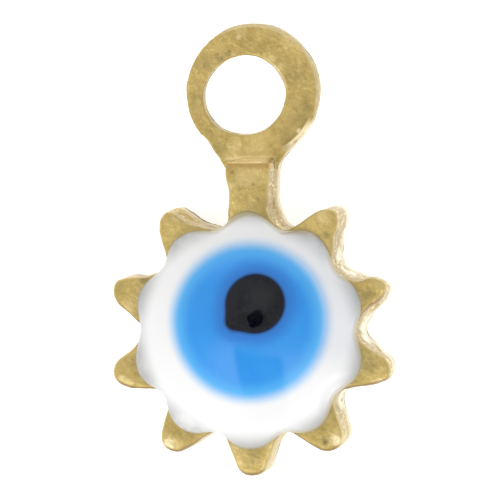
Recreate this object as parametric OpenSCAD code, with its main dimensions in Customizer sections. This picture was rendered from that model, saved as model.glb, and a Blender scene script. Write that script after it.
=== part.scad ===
// Sun-shaped evil eye pendant: a brass sun with a hanging ring, and an enamel eye on its front.
// It lies on its back. +X is to the wearer's left as seen from the front, +Y is towards the ring
// and +Z comes out of the enamel. The origin is the centre of the hanging hole, on the back face.

/* [Sun body] */
// Distance from the sun's centre to the tip of a ray
sun_reach = 4.14; // [3.8:0.02:4.4]
// Number of equal places round the sun; the top one holds the stem
ray_places = 10; // [9:1:12]
// Half of the angle between the two sides of a ray
ray_half_angle = 20; // [17:1:22]
// Radius of a ray's rounded tip
ray_tip_r = 0.46; // [0.38:0.02:0.52]
// Radius of the rounded valley between two rays
valley_r = 0.42; // [0.36:0.02:0.5]
// Thickness of the sun and the stem, from the back to the front
body_t = 2; // [1.5:0.1:2.4]

/* [Stem] */
// Width of the stem
stem_w = 1.08; // [0.98:0.02:1.3]
// Distance from the sun's centre to the step at the top of the stem
stem_reach = 4.73; // [4.5:0.05:4.9]
// Lean of the stem and the ring, in degrees anticlockwise from the front
hanger_lean = 1.8; // [0:0.2:3]

/* [Ring] */
// Thickness of the ring and its neck, which are flush with the back
ring_t = 0.46; // [0.36:0.02:0.6]
// Outer diameter of the ring
ring_d = 3.8; // [3.5:0.05:4]
// Distance from the sun's centre to the ring's centre
ring_reach = 6.84; // [6.7:0.02:7.2]
// Width of the neck where it is narrowest
neck_w = 1.16; // [1:0.02:1.3]
// How far the neck lies to the left of the stem
neck_left = 0.07; // [0:0.01:0.1]
// Radius of the neck's hollow sides
neck_r = 2.1; // [1.8:0.1:2.6]
// Diameter of the hanging hole
hole_d = 2.36; // [2:0.04:2.6]
// How far the hole lies to the left of the ring's centre
hole_left = 0.23; // [0:0.01:0.3]
// How far the hole lies below the ring's centre
hole_down = 0.13; // [0:0.01:0.2]

/* [White enamel] */
// Height of the enamel's dome above its flat underside
dome_h = 1.4; // [1.2:0.1:1.8]
// Power that rounds the dome, from 0.7 for a full edge to 1 for a slack one
dome_power = 0.85; // [0.7:0.05:1]
// Height of the enamel's upright rim
rim_h = 0.06; // [0.04:0.01:0.1]
// How far the enamel stays inside the metal in a valley
rim_inset = 0.02; // [0.01:0.01:0.05]
// How far a lobe of enamel reaches into a ray past the valleys
lobe_reach = 0.38; // [0.2:0.02:0.46]
// How much further the lobe on the stem reaches
stem_lobe_extra = 0.12; // [0:0.02:0.2]
// How far the dome's top lies to the left of the sun's centre
apex_left = 0.25; // [0:0.05:0.4]
// How far the dome's top lies above the sun's centre
apex_up = 0.2; // [0:0.05:0.4]

/* [Blue iris] */
// Diameter of the iris
iris_d = 4.38; // [4:0.02:4.6]
// How far the iris lies to the right of the sun's centre
iris_right = 0.12; // [0:0.01:0.2]
// How far the iris lies above the sun's centre
iris_up = 0.42; // [0.2:0.01:0.5]
// Height of the iris's flat underside above the white's underside
iris_floor = 0.2; // [0.14:0.02:0.26]

/* [Black pupil] */
// Diameter of the pupil's round part
pupil_d = 1.66; // [1.5:0.02:1.9]
// How far the pupil lies to the right of the sun's centre
pupil_right = 0.34; // [0.2:0.01:0.5]
// How far the pupil lies above the sun's centre
pupil_up = 0.88; // [0.6:0.02:1]
// Height of the pupil's flat underside above the white's underside
pupil_floor = 0.75; // [0.6:0.05:0.85]
// Radius of the pupil's one corner
corner_r = 0.14; // [0.1:0.02:0.2]
// Distance from the pupil's centre to the centre of that corner
corner_reach = 0.86; // [0.8:0.02:0.9]
// Direction of the corner, in degrees anticlockwise from +X
corner_angle = 219; // [200:1:240]

/* [Fit] */
// Gap between the brass and the enamel, and all round between one enamel and the next
layer_gap = 0.02; // [0.01:0.01:0.04]

/* [Hidden] */
$fn = 96;

BRASS = [0.72, 0.58, 0.30];
WHITE = [0.95, 0.95, 0.94];
BLUE = [0.13, 0.45, 0.85];
BLACK = [0.03, 0.03, 0.035];

// Ray and valley geometry: the arc of a tip and the arc of a valley share a tangent, a ray's side
STEM_ANGLE = 90;
ARC_SIDES = 8;
RING_SIDES = 64;
half_place = 180 / ray_places;
valley_half_angle = ray_half_angle + half_place;
tip_centre = sun_reach - ray_tip_r;
valley_centre = (tip_centre * sin(ray_half_angle) + ray_tip_r + valley_r) / sin(valley_half_angle);
valley_reach = valley_centre - valley_r;
ring_r = ring_d / 2;

// Half of what the arc of a tip or a valley turns through
tip_turn = 90 - ray_half_angle;
valley_turn = 90 - valley_half_angle;

// The hole's centre, seen from the sun's centre, once the hanger leans
hole_at = [
    -hole_left * cos(hanger_lean) - (ring_reach - hole_down) * sin(hanger_lean),
    -hole_left * sin(hanger_lean) + (ring_reach - hole_down) * cos(hanger_lean)
];

// Enamel geometry: rings of points from the rim to the top of the dome
LOBE_SIDES = 8;
LOBE_FADE = 6;
DOME_RINGS = 11;
CUT = 1;
dome_sides = LOBE_SIDES * ray_places;
lobe_half = lobe_reach / 2;
rim_mid = valley_reach - rim_inset + lobe_half;
dome_foot = body_t + layer_gap;
apex_at = [-apex_left, apex_up];
iris_at = [iris_right, iris_up];
pupil_at = [pupil_right, pupil_up];

// A point at a distance and an angle from the sun's centre
function polar(reach, angle) = [reach * cos(angle), reach * sin(angle)];

// The points of an arc, both ends included
function arc(centre, radius, from, to, sides) =
    [for (side = [0:sides]) centre + polar(radius, from + (to - from) * side / sides)];

// Centre of the neck's hollow side that starts half to the right of the hanger's line
function hollow_centre(half) =
    [half + neck_r, ring_reach - sqrt(pow(ring_r + neck_r, 2) - pow(half + neck_r, 2))];

// How strongly the stem's own lobe shows at an angle: 1 on the stem and 0 from the next valleys on
function stem_share(angle) =
    abs(angle - STEM_ANGLE) < half_place ? (1 + cos(180 * (angle - STEM_ANGLE) / half_place)) / 2 : 0;

// Reach of the enamel from the sun's centre; the lobes fade away up the dome
function enamel_reach(angle, share) =
    rim_mid + (lobe_half * cos(ray_places * (angle - STEM_ANGLE)) + stem_lobe_extra * stem_share(angle))
    * pow(share, LOBE_FADE);

// A point of the dome: share is 0 at its top and 1 at its rim
function dome_point(angle, share) =
    let (
        reach = share * enamel_reach(angle, share),
        height = rim_h + (dome_h - rim_h) * pow(1 - share * share, dome_power)
    )
    [
        reach * cos(angle) + (1 - share) * apex_at[0],
        reach * sin(angle) + (1 - share) * apex_at[1],
        dome_foot + height
    ];

// Rings crowd towards the rim, where the dome is steepest
function ring_share(ring) = sin(90 * (DOME_RINGS - ring) / DOME_RINGS);

// Everything is drawn round the sun's centre and then moved to the hole's centre
module from_hole() {
    translate([-hole_at[0], -hole_at[1], 0])
        children();
}

// The sun's outline; the stem covers the top ray, whose foot widens the stem's root
module sun_outline() {
    polygon([for (place = [0:ray_places - 1])
        let (ray = STEM_ANGLE + 2 * place * half_place, valley = ray + half_place, inward = valley + 180)
        each concat(
            arc(polar(tip_centre, ray), ray_tip_r, ray - tip_turn, ray + tip_turn, ARC_SIDES),
            arc(polar(valley_centre, valley), valley_r, inward + valley_turn, inward - valley_turn, ARC_SIDES)
        )]);
}

// The stem from the sun's centre to the step
module stem_outline() {
    translate([-stem_w / 2, 0])
        square([stem_w, stem_reach]);
}

// The ring and its neck, whose sides run straight beside the stem and then hollow up to the ring
module ring_outline() {
    right = hollow_centre(neck_w / 2 - neck_left);
    left = hollow_centre(neck_w / 2 + neck_left);
    right_turn = acos(right[0] / (ring_r + neck_r));
    left_turn = acos(left[0] / (ring_r + neck_r));
    ring = arc([0, ring_reach], ring_r, -right_turn, 180 + left_turn, RING_SIDES);
    polygon(concat(
        [[neck_r - left[0], 0], [right[0] - neck_r, 0]],
        arc(right, neck_r, 180, 180 - right_turn, ARC_SIDES),
        [for (side = [1:RING_SIDES - 1]) ring[side]],
        arc([-left[0], left[1]], neck_r, left_turn, 0, ARC_SIDES)
    ));
}

// The brass: the thick sun and stem, and the thin ring flush with their back
module sun_plate() {
    color(BRASS)
        from_hole()
            difference() {
                union() {
                    linear_extrude(body_t) {
                        sun_outline();
                        rotate(hanger_lean)
                            stem_outline();
                    }
                    rotate(hanger_lean)
                        linear_extrude(ring_t)
                            ring_outline();
                }
                translate([hole_at[0], hole_at[1], -CUT])
                    cylinder(d = hole_d, h = ring_t + 2 * CUT);
            }
}

// The whole enamel dome as one mesh of rings, with a flat underside on the sun's front face
module enamel_dome() {
    angles = [for (side = [0:dome_sides - 1]) 360 * side / dome_sides];
    foot = [for (angle = angles)
        [enamel_reach(angle, 1) * cos(angle), enamel_reach(angle, 1) * sin(angle), dome_foot]];
    rings = [for (ring = [0:DOME_RINGS - 1], angle = angles) dome_point(angle, ring_share(ring))];
    top = [dome_point(0, 0)];
    top_index = (DOME_RINGS + 1) * dome_sides;
    polyhedron(
        points = concat(foot, rings, top),
        faces = concat(
            [[for (side = [0:dome_sides - 1]) side]],
            [for (ring = [0:DOME_RINGS - 1], side = [0:dome_sides - 1])
                let (next = (side + 1) % dome_sides, low = ring * dome_sides, high = low + dome_sides)
                [low + side, high + side, low + next]],
            [for (ring = [0:DOME_RINGS - 1], side = [0:dome_sides - 1])
                let (next = (side + 1) % dome_sides, low = ring * dome_sides, high = low + dome_sides)
                [high + side, high + next, low + next]],
            [for (side = [0:dome_sides - 1])
                let (last = DOME_RINGS * dome_sides)
                [last + side, top_index, last + (side + 1) % dome_sides]]
        )
    );
}

// A round column of the iris, grown all round and downwards by grow
module iris_column(grow) {
    translate([iris_at[0], iris_at[1], dome_foot + iris_floor - grow])
        cylinder(r = iris_d / 2 + grow, h = dome_h + CUT);
}

// The pupil's outline: a circle drawn out to one rounded corner
module pupil_outline(grow) {
    turn = acos((pupil_d / 2 - corner_r) / corner_reach);
    rotate(corner_angle)
        polygon(concat(
            arc([0, 0], pupil_d / 2 + grow, turn, 360 - turn, RING_SIDES),
            arc([corner_reach, 0], corner_r + grow, -turn, turn, ARC_SIDES)
        ));
}

// A column of the pupil's outline, grown all round and downwards by grow
module pupil_column(grow) {
    translate([pupil_at[0], pupil_at[1], dome_foot + pupil_floor - grow])
        linear_extrude(dome_h + CUT)
            pupil_outline(grow);
}

// The white of the eye, with a flat-bottomed pool for the iris
module white_enamel() {
    color(WHITE)
        from_hole()
            difference() {
                enamel_dome();
                iris_column(layer_gap);
            }
}

// The iris, flush with the dome, with a flat-bottomed pool for the pupil
module blue_iris() {
    color(BLUE)
        from_hole()
            difference() {
                intersection() {
                    enamel_dome();
                    iris_column(0);
                }
                pupil_column(layer_gap);
            }
}

// The pupil, flush with the dome
module black_pupil() {
    color(BLACK)
        from_hole()
            intersection() {
                enamel_dome();
                pupil_column(0);
            }
}

sun_plate();
white_enamel();
blue_iris();
black_pupil();
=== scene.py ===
"""A sun-shaped evil eye pendant on a bright table: raw brass with a glossy enamel eye.

Pieces are shaped in millimetres round the sun's centre, with z = 0 on the back face, and are
brought to metres in the part's own frame when they are done.
"""
import math
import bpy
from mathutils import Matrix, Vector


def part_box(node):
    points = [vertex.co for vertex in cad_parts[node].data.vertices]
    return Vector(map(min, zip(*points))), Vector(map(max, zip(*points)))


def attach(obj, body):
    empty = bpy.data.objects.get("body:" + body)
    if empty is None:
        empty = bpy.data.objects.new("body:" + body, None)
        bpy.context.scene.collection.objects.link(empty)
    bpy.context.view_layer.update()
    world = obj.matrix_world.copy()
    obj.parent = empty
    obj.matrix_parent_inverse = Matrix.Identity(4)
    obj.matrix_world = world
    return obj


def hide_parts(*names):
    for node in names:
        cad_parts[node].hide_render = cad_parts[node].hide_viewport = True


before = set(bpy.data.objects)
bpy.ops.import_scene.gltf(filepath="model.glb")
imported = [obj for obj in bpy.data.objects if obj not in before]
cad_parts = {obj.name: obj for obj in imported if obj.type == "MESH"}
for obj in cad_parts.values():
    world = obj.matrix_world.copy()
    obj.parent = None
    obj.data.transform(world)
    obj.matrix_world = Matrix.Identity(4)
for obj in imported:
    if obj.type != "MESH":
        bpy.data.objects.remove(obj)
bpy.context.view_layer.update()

from types import SimpleNamespace

import bmesh
import bpy
from mathutils import Matrix, Vector

MM = 0.001

# Sizes in millimetres, the same as in the part's source where the source has them
PLACES = 10
SUN_REACH = 4.14
BODY_T = 2.0
RING_T = 0.46
RING_REACH = 6.84
RING_R = 1.9
HOLE_R = 1.18
STEM_REACH = 4.73
HANGER_LEAN = math.radians(1.8)
STEP = math.radians(360 / PLACES)
QUARTER_TURN = math.radians(90)
STEM_ANGLE = QUARTER_TURN

# The sun's centre in the part's frame: the rays lie evenly to its left and right. The hanging
# hole is the frame's origin.
brass_low, brass_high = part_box("sun_plate")
SUN = Vector(((brass_low.x + brass_high.x) / 2, brass_low.y + SUN_REACH * MM, 0))
HOLE = -SUN / MM
RING_AT = Vector((-RING_REACH * math.sin(HANGER_LEAN), RING_REACH * math.cos(HANGER_LEAN), 0))


# Hand tools

def deselect():
    if bpy.context.object and bpy.context.object.mode != "OBJECT":
        bpy.ops.object.mode_set(mode="OBJECT")
    bpy.ops.object.select_all(action="DESELECT")


def take(*pieces):
    """Selects these pieces alone; the last one is the active one."""
    deselect()
    for piece in pieces:
        piece.select_set(True)
    bpy.context.view_layer.objects.active = pieces[-1]


def settle():
    """Puts the active object's place, turn and scale into its mesh."""
    bpy.ops.object.transform_apply(location=True, rotation=True, scale=True)


def edit(piece, mode="VERT"):
    take(piece)
    bpy.ops.object.mode_set(mode="EDIT")
    bpy.ops.mesh.select_mode(type=mode)
    bpy.ops.mesh.select_all(action="DESELECT")


def done():
    bpy.ops.object.mode_set(mode="OBJECT")


def pick(piece, test):
    """In edit mode, selects just the points, or the edges with both ends, that pass the test."""
    bpy.ops.mesh.select_all(action="DESELECT")
    mesh = bmesh.from_edit_mesh(piece.data)
    if bpy.context.tool_settings.mesh_select_mode[0]:
        for vert in mesh.verts:
            vert.select = test(vert.co)
    else:
        for edge in mesh.edges:
            edge.select = all(test(vert.co) for vert in edge.verts)
    mesh.select_flush_mode()
    bmesh.update_edit_mesh(piece.data)


def pull(move, follow, falloff="SMOOTH"):
    """Moves what is selected, with what lies within this reach of it following softly."""
    bpy.ops.transform.translate(value=move, use_proportional_edit=True,
                                proportional_edit_falloff=falloff, proportional_size=follow)


def modify(piece, kind, **settings):
    """Adds a modifier, sets it and applies it."""
    take(piece)
    modifier = piece.modifiers.new(kind.title(), kind)
    for name, value in settings.items():
        setattr(modifier, name, value)
    bpy.ops.object.modifier_apply(modifier=modifier.name)


def to_frame(piece, name, slot, *nodes):
    """Brings a finished piece from millimetres to the part's frame and hands it over."""
    take(piece)
    piece.location = SUN
    piece.scale = (MM, MM, MM)
    settle()
    piece.name = piece.data.name = name
    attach(piece, "root")
    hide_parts(*nodes)


def around(reach, angle):
    return Vector((reach * math.cos(angle), reach * math.sin(angle), 0))


# Brass sun: a merged copy of the solid, worn at the ray tips and a little uneven all over

MERGE, FLAT_WITHIN = 0.001, math.radians(1)
GRAIN = 0.0455
# How near to a circle's outline, and to a level, a point counts as on it
ON_OUTLINE, ON_LEVEL = 0.02, 0.01
FRONT_BREAK, STEP_BREAK = 0.05, 0.035
# The punched hole and the ring's upper outline: how much each is stretched, and where it goes
HOLE_STRETCH, HOLE_SHIFT = (1.03, 0.985, 1), (-0.025, 0.035, 0)
RING_STRETCH, RING_SHIFT, RING_FROM_Y = (1.016, 1.016, 1), (-0.012, 0.008, 0), 5.6
# Where the wear of the ray tips begins and how soon it is full: outward, and up the walls
WEAR_REACH, WEAR_OUT = 3.55, 0.35
WEAR_HEIGHT, WEAR_UP = 1.1, 0.5
# The stem, which has no such wear: from where up, and half its width
STEM_FROM_Y, STEM_HALF = 2.8, 1
EVEN_ROUNDS, WORN_ROUNDS = 2, 26
WAVE_SIZE, WAVE_DEPTH = 0.9, 0.05
DENT_SIZE, DENT_DEPTH = 0.22, 0.022
# The lip pressed up on the ring's lower right edge: from and to where up, width, least height
LIP_FROM_Y, LIP_TO_Y, LIP_WIDTH, LIP_HEIGHT = 5.45, 6.0, 0.06, 0.3
# Heights past the back and past the front
BACK, FRONT = -1, BODY_T + 1


def in_box(across, along, height=(BACK, FRONT)):
    """A test for points between two values each to the right, up the stem and off the table."""
    (left, right), (low, high), (back, front) = across, along, height
    return lambda co: left < co.x < right and low < co.y < high and back < co.z < front


def near(x, y, reach):
    """A test for points this near to a spot, at any height."""
    return lambda co: (co.xy - Vector((x, y))).length < reach


def on_lip(co):
    return ((co.xy - RING_AT.xy).length > RING_R - LIP_WIDTH
            and LIP_FROM_Y < co.y < LIP_TO_Y and co.x > 0 and co.z > LIP_HEIGHT)


# Pushes on the stem, the neck and the ring: which points, how far they go, and how far round
# them the metal follows
HANGER_PUSHES = (
    (in_box((-0.8, -0.6), (4.56, 4.76), (0.6, FRONT)), (-0.05, 0, 0), 0.5),
    (in_box((-0.8, -0.5), (3.8, 4.0)), (0.045, 0, 0), 0.45),
    (in_box((-1.3, -0.65), (4.8, 5.1), (BACK, 0.5)), (-0.12, 0, 0), 0.5),
    (near(-1.50, 5.35, 0.1), (-0.04, -0.025, 0), 0.8),
    (near(1.02, 5.36, 0.15), (0.04, -0.01, 0), 0.6),
    (near(-1.70, 8.02, 0.1), (0.035, -0.03, 0), 1.5),
    (near(-1.45, 6.1, 0.2), (-0.022, -0.01, 0), 0.9),
    (in_box((0.3, 0.8), (4.05, 4.25), (BACK, 1)), (0.09, 0, 0), 0.6),
    (in_box((0.25, 0.7), (4.54, 4.70), (1.4, FRONT)), (0.15, 0, 0), 0.45),
    (in_box((0.3, 0.7), (4.0, 4.2), (1.2, FRONT)), (0.05, 0, 0), 0.35),
    (in_box((0.4, 0.8), (3.3, 3.5), (1.2, FRONT)), (-0.11, 0, 0), 0.4),
    (in_box((-0.8, 0.8), (STEM_REACH - 0.07, STEM_REACH + 0.07), (0.52, FRONT)),
     (0, 0.12, 0), 0.28),
    (in_box((-0.5, 0.5), (STEM_REACH + 0.04, STEM_REACH + 0.18), (0.5, 0.8)),
     (0, 0.05, 0), 0.25),
    (on_lip, (0, 0, 0.05), 0.16),
)
# Pulls that make each ray its own: ray's direction, then reach, side and height of the pulled
# spot, how far it goes outward and anticlockwise, and how far round it the metal follows
RAY_PULLS = (
    (126, 4.10, 0.00, None, 0.07, 0.02, 0.70),
    (126, 3.75, -0.65, None, 0.00, 0.14, 0.50),
    (126, 3.40, 0.65, None, 0.00, 0.07, 0.45),
    (126, 3.95, -0.40, 1.8, 0.00, 0.10, 0.38),
    (162, 4.10, 0.00, None, 0.08, 0.03, 0.70),
    (162, 3.75, -0.50, None, 0.00, 0.12, 0.45),
    (162, 3.40, -0.60, None, 0.00, 0.07, 0.45),
    (162, 3.45, 0.60, None, 0.00, 0.08, 0.45),
    (162, 3.45, -0.50, 1.8, 0.00, -0.08, 0.50),
    (180, 3.05, 0.00, None, 0.07, 0.00, 0.50),
    (198, 4.10, 0.00, None, 0.08, 0.01, 0.70),
    (198, 3.45, 0.60, None, 0.00, 0.08, 0.45),
    (198, 3.85, -0.42, None, 0.00, 0.03, 0.40),
    (234, 4.10, 0.00, None, 0.08, 0.02, 0.70),
    (234, 3.45, 0.60, None, 0.00, 0.05, 0.45),
    (270, 4.10, 0.00, None, 0.04, 0.00, 0.70),
    (270, 3.60, 0.60, 0.4, 0.00, -0.08, 0.45),
    (306, 4.10, 0.00, None, 0.03, 0.03, 0.70),
    (306, 4.10, 0.30, 0.4, -0.05, -0.03, 0.50),
    (342, 4.10, 0.00, None, 0.02, 0.04, 0.70),
    (342, 3.75, -0.50, None, 0.00, 0.07, 0.45),
    (342, 4.10, 0.30, 1.8, 0.04, 0.05, 0.50),
    (342, 4.10, 0.30, 0.4, -0.09, -0.05, 0.55),
    (18, 4.10, 0.00, 0.4, -0.16, 0.00, 0.70),
    (18, 3.75, -0.50, None, 0.00, 0.10, 0.45),
    (18, 3.75, 0.50, None, 0.00, -0.12, 0.45),
    (18, 3.95, 0.10, 1.8, 0.00, 0.10, 0.55),
    (18, 3.20, 0.62, 1.8, 0.00, -0.09, 0.40),
    (18, 3.22, -0.60, 1.8, 0.00, 0.12, 0.40),
    (54, 4.10, 0.00, None, 0.10, 0.02, 0.60),
    (54, 3.85, -0.50, None, -0.02, 0.07, 0.45),
    (54, 3.40, -0.70, None, 0.00, 0.07, 0.40),
    (54, 3.45, 0.60, None, 0.00, 0.06, 0.45),
    (54, 4.05, -0.35, None, 0.00, 0.07, 0.32),
)
# How near to a pull's spot and height a point has to be to go all the way with it
PULL_NEAR, PULL_HEIGHT = 0.3, 0.45


def brass_copy():
    solid = bpy.data.objects.new("brass_sun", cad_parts["sun_plate"].data.copy())
    bpy.context.scene.collection.objects.link(solid)
    take(solid)
    solid.location = HOLE
    solid.scale = (1 / MM, 1 / MM, 1 / MM)
    settle()
    edit(solid)
    bpy.ops.mesh.select_all(action="SELECT")
    bpy.ops.mesh.remove_doubles(threshold=MERGE)
    bpy.ops.mesh.dissolve_limited(angle_limit=FLAT_WITHIN)
    done()
    return solid


def punch_hole_wide(solid):
    """The punched hole is a little wider than it is tall."""
    edit(solid)
    pick(solid, lambda co: (co.xy - HOLE.xy).length < HOLE_R + ON_OUTLINE)
    bpy.ops.transform.resize(value=HOLE_STRETCH, center_override=HOLE)
    bpy.ops.transform.translate(value=HOLE_SHIFT)
    pick(solid, lambda co: (co.xy - RING_AT.xy).length > RING_R - ON_OUTLINE
         and co.y > RING_FROM_Y)
    bpy.ops.transform.resize(value=RING_STRETCH, center_override=RING_AT)
    bpy.ops.transform.translate(value=RING_SHIFT)
    done()


def soften_edges(solid):
    """Breaks the sharp edges of the front, the step and the ring."""
    edit(solid, "EDGE")
    for height, offset in ((BODY_T, FRONT_BREAK), (RING_T, STEP_BREAK)):
        pick(solid, lambda co: abs(co.z - height) < ON_LEVEL)
        bpy.ops.mesh.bevel(offset=offset, segments=2, profile=0.5, clamp_overlap=True)
    done()


def shape_hanger(solid):
    """The stem is waisted below its step, and the neck spreads out wider than the stem."""
    edit(solid)
    for test, move, follow in HANGER_PUSHES:
        pick(solid, test)
        pull(move, follow)
    done()


def shape_rays(solid):
    """No two rays came out of the mould alike."""
    edit(solid)
    for ray, reach, side, height, outward, over, follow in RAY_PULLS:
        turn = math.radians(ray)
        along, across = around(1, turn), around(1, turn + QUARTER_TURN)
        spot = along * reach + across * side
        level = (BACK, FRONT) if height is None else (height - PULL_HEIGHT, height + PULL_HEIGHT)
        pick(solid, lambda co: (co.xy - spot.xy).length < PULL_NEAR and level[0] < co.z < level[1])
        pull(along * outward + across * over, follow)
    done()


def tip_wear(co):
    """1 on the front of a ray's tip and 0 from the enamel inwards and on the stem."""
    if co.y > STEM_FROM_Y and abs(co.x) < STEM_HALF:
        return 0
    outward = max(0, (co.xy.length - WEAR_REACH) / WEAR_OUT)
    return outward * max(0, min(1, (co.z - WEAR_HEIGHT) / WEAR_UP))


def mark(solid, name, weight):
    """A vertex group whose weight is worked out from each point's place."""
    group = solid.vertex_groups.new(name=name)
    for vert in solid.data.vertices:
        share = weight(vert.co)
        if share > 0:
            group.add([vert.index], min(share, 1), "REPLACE")


def ripple(solid, name, size, detail, depth, middle):
    """Moves the surface in and out by a cloud texture, about its middle level."""
    texture = bpy.data.textures.new(name, "CLOUDS")
    texture.noise_scale = size
    texture.noise_depth = detail
    modify(solid, "DISPLACE", texture=texture, strength=depth, mid_level=middle,
           texture_coords="LOCAL")


def brass_sun():
    solid = brass_copy()
    punch_hole_wide(solid)
    soften_edges(solid)
    modify(solid, "REMESH", mode="VOXEL", voxel_size=GRAIN, use_smooth_shade=True)
    shape_hanger(solid)
    shape_rays(solid)
    modify(solid, "SMOOTH", factor=0.5, iterations=EVEN_ROUNDS)
    mark(solid, "worn_tips", tip_wear)
    modify(solid, "SMOOTH", factor=0.5, iterations=WORN_ROUNDS, vertex_group="worn_tips")
    ripple(solid, "cast_waves", WAVE_SIZE, 1, WAVE_DEPTH, 0.2)
    ripple(solid, "cast_dents", DENT_SIZE, 2, DENT_DEPTH, 0.5)
    solid.vertex_groups.clear()
    return solid


# Enamel dome: loops of forty points, subdivided, then cut into white, iris and pupil

LOOP = 40
# How far the dome stands off the brass, and how near to its level a loop's point has to be
HAIR = 0.005
DOME_FOOT = BODY_T + HAIR
APEX = Vector((-0.24, 0.2, 0))
IRIS_AT, IRIS_R, IRIS_FLOOR = Vector((0.12, 0.42, 0)), 2.19, 0.2
PUPIL_AT, PUPIL_R, PUPIL_FLOOR = Vector((0.34, 0.88, 0)), 0.84, 0.75
CORNER_R, CORNER_REACH, CORNER_ANGLE = 0.22, 0.79, math.radians(221)
CORNER_AT = PUPIL_AT + around(CORNER_REACH, CORNER_ANGLE)
IRIS_POINTS, PUPIL_POINTS, CORNER_POINTS = 192, 96, 32
CUT_TOP = DOME_FOOT + 2
CUT_FLAT_WITHIN = math.radians(0.5)
SMOOTH_UNDER = math.radians(35)

# Each loop of the dome: share of the rim's reach, height above the foot, share of the lobes left
DOME_LOOPS = (
    (1.000, 0.000, 1.00),
    (0.998, 0.050, 1.00),
    (0.980, 0.160, 0.85),
    (0.935, 0.320, 0.45),
    (0.850, 0.540, 0.12),
    (0.700, 0.820, 0.00),
    (0.520, 1.080, 0.00),
    (0.320, 1.290, 0.00),
    (0.140, 1.400, 0.00),
)
RIM_MID = 3.28
LOBE_TIP = 0.12
LOBE_VALLEY = 0.34
STEM_LOBE = 0.12
DOME_TOP_RISE = 0.026
# How near a loop's point lies to its place: in steps round the loop, and in millimetres
STEPS_NEAR, POINT_NEAR, TOP_NEAR = 0.1, 0.05, 0.03
# Three valleys on the left where the enamel ran out: steps past the stem, and how far outward
VALLEY_PULLS = ((1.5, 0.11), (2.5, 0.21), (3.5, 0.09))
VALLEY_NEAR, VALLEY_HEIGHT, VALLEY_FOLLOW = 0.15, 0.1, 0.6
# Pulls that make each lobe of the rim its own: its direction in degrees and how far outward
RIM_PULLS = (
    (90, 0.02), (99, 0.15), (54, 0.02), (63, 0.13),
    (333, 0.06), (342, 0.01), (351, 0.06),
    (297, 0.07), (306, 0.03), (315, 0.05),
    (261, 0.10), (270, 0.03), (279, 0.08),
    (225, 0.17), (234, 0.13), (243, 0.13),
    (189, 0.13), (198, 0.16), (207, 0.20),
    (153, 0.04), (162, 0.09), (171, 0.10),
    (117, 0.02), (126, 0.05), (135, 0.15),
)
RIM_SPREAD, RIM_HEIGHT, RIM_FOLLOW = STEP / 9, 0.06, 0.45


def dome_loop(share, height, lobes):
    """One loop: a circle whose lobe tips are scaled out and whose valleys are scaled in."""
    centre = APEX * (1 - share) + Vector((0, 0, DOME_FOOT + height))
    bpy.ops.mesh.primitive_circle_add(vertices=LOOP, radius=RIM_MID * share, location=centre)
    loop = bpy.context.object
    settle()
    edit(loop)
    for turn, change in ((0.0, LOBE_TIP), (0.5, -LOBE_VALLEY)):
        def on_place(co):
            angle = math.atan2(co.y - centre.y, co.x - centre.x) - STEM_ANGLE
            part = (angle / STEP - turn) % 1
            return min(part, 1 - part) < STEPS_NEAR
        pick(loop, on_place)
        size = 1 + change * lobes / RIM_MID
        bpy.ops.transform.resize(value=(size, size, 1), center_override=centre)
    pick(loop, lambda co: abs(co.x - centre.x) < POINT_NEAR and co.y > centre.y)
    bpy.ops.transform.translate(value=(0, STEM_LOBE * lobes, 0))
    done()
    return loop


def close_top(dome):
    """Fills the smallest loop and lifts its middle."""
    share, height, _ = DOME_LOOPS[-1]
    top = DOME_FOOT + height
    middle = APEX * (1 - share)
    pick(dome, lambda co: co.z > top - HAIR)
    bpy.ops.mesh.fill_grid(span=LOOP // 4)
    bpy.ops.mesh.select_mode(type="VERT")
    pick(dome, lambda co: co.z > top - HAIR and (co.xy - middle.xy).length < TOP_NEAR)
    pull((0, 0, DOME_TOP_RISE), RIM_MID * share, "INVERSE_SQUARE")


def draw_out_rim(dome):
    for steps, outward in VALLEY_PULLS:
        turn = STEM_ANGLE + STEP * steps
        spot = around(RIM_MID - LOBE_VALLEY, turn)
        pick(dome, lambda co: (co.xy - spot.xy).length < VALLEY_NEAR
             and co.z < DOME_FOOT + VALLEY_HEIGHT)
        pull(around(outward, turn), VALLEY_FOLLOW)
    for degrees, outward in RIM_PULLS:
        way = around(1, math.radians(degrees))
        pick(dome, lambda co: co.z < DOME_FOOT + RIM_HEIGHT
             and co.xy.length > RIM_MID - LOBE_VALLEY and co.xy.angle(way.xy) < RIM_SPREAD)
        pull(way * outward, RIM_FOLLOW)


def enamel_dome():
    deselect()
    loops = [dome_loop(*row) for row in DOME_LOOPS]
    take(*loops)
    bpy.ops.object.join()
    dome = bpy.context.object
    edit(dome, "EDGE")
    bpy.ops.mesh.select_all(action="SELECT")
    bpy.ops.mesh.bridge_edge_loops(type="SINGLE")
    close_top(dome)
    draw_out_rim(dome)
    bpy.ops.mesh.select_mode(type="EDGE")
    pick(dome, lambda co: co.z < DOME_FOOT + HAIR)
    bpy.ops.mesh.edge_face_add()
    bpy.ops.mesh.select_all(action="SELECT")
    bpy.ops.mesh.normals_make_consistent(inside=False)
    pick(dome, lambda co: co.z < DOME_FOOT + HAIR)
    bpy.ops.transform.edge_crease(value=1.0)
    done()
    modify(dome, "SUBSURF", levels=3, render_levels=3)
    return dome


def iris_cutter():
    floor = DOME_FOOT + IRIS_FLOOR
    bpy.ops.mesh.primitive_cylinder_add(
        vertices=IRIS_POINTS, radius=IRIS_R, depth=CUT_TOP - floor,
        location=IRIS_AT + Vector((0, 0, (CUT_TOP + floor) / 2)))
    settle()
    return bpy.context.object


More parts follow.
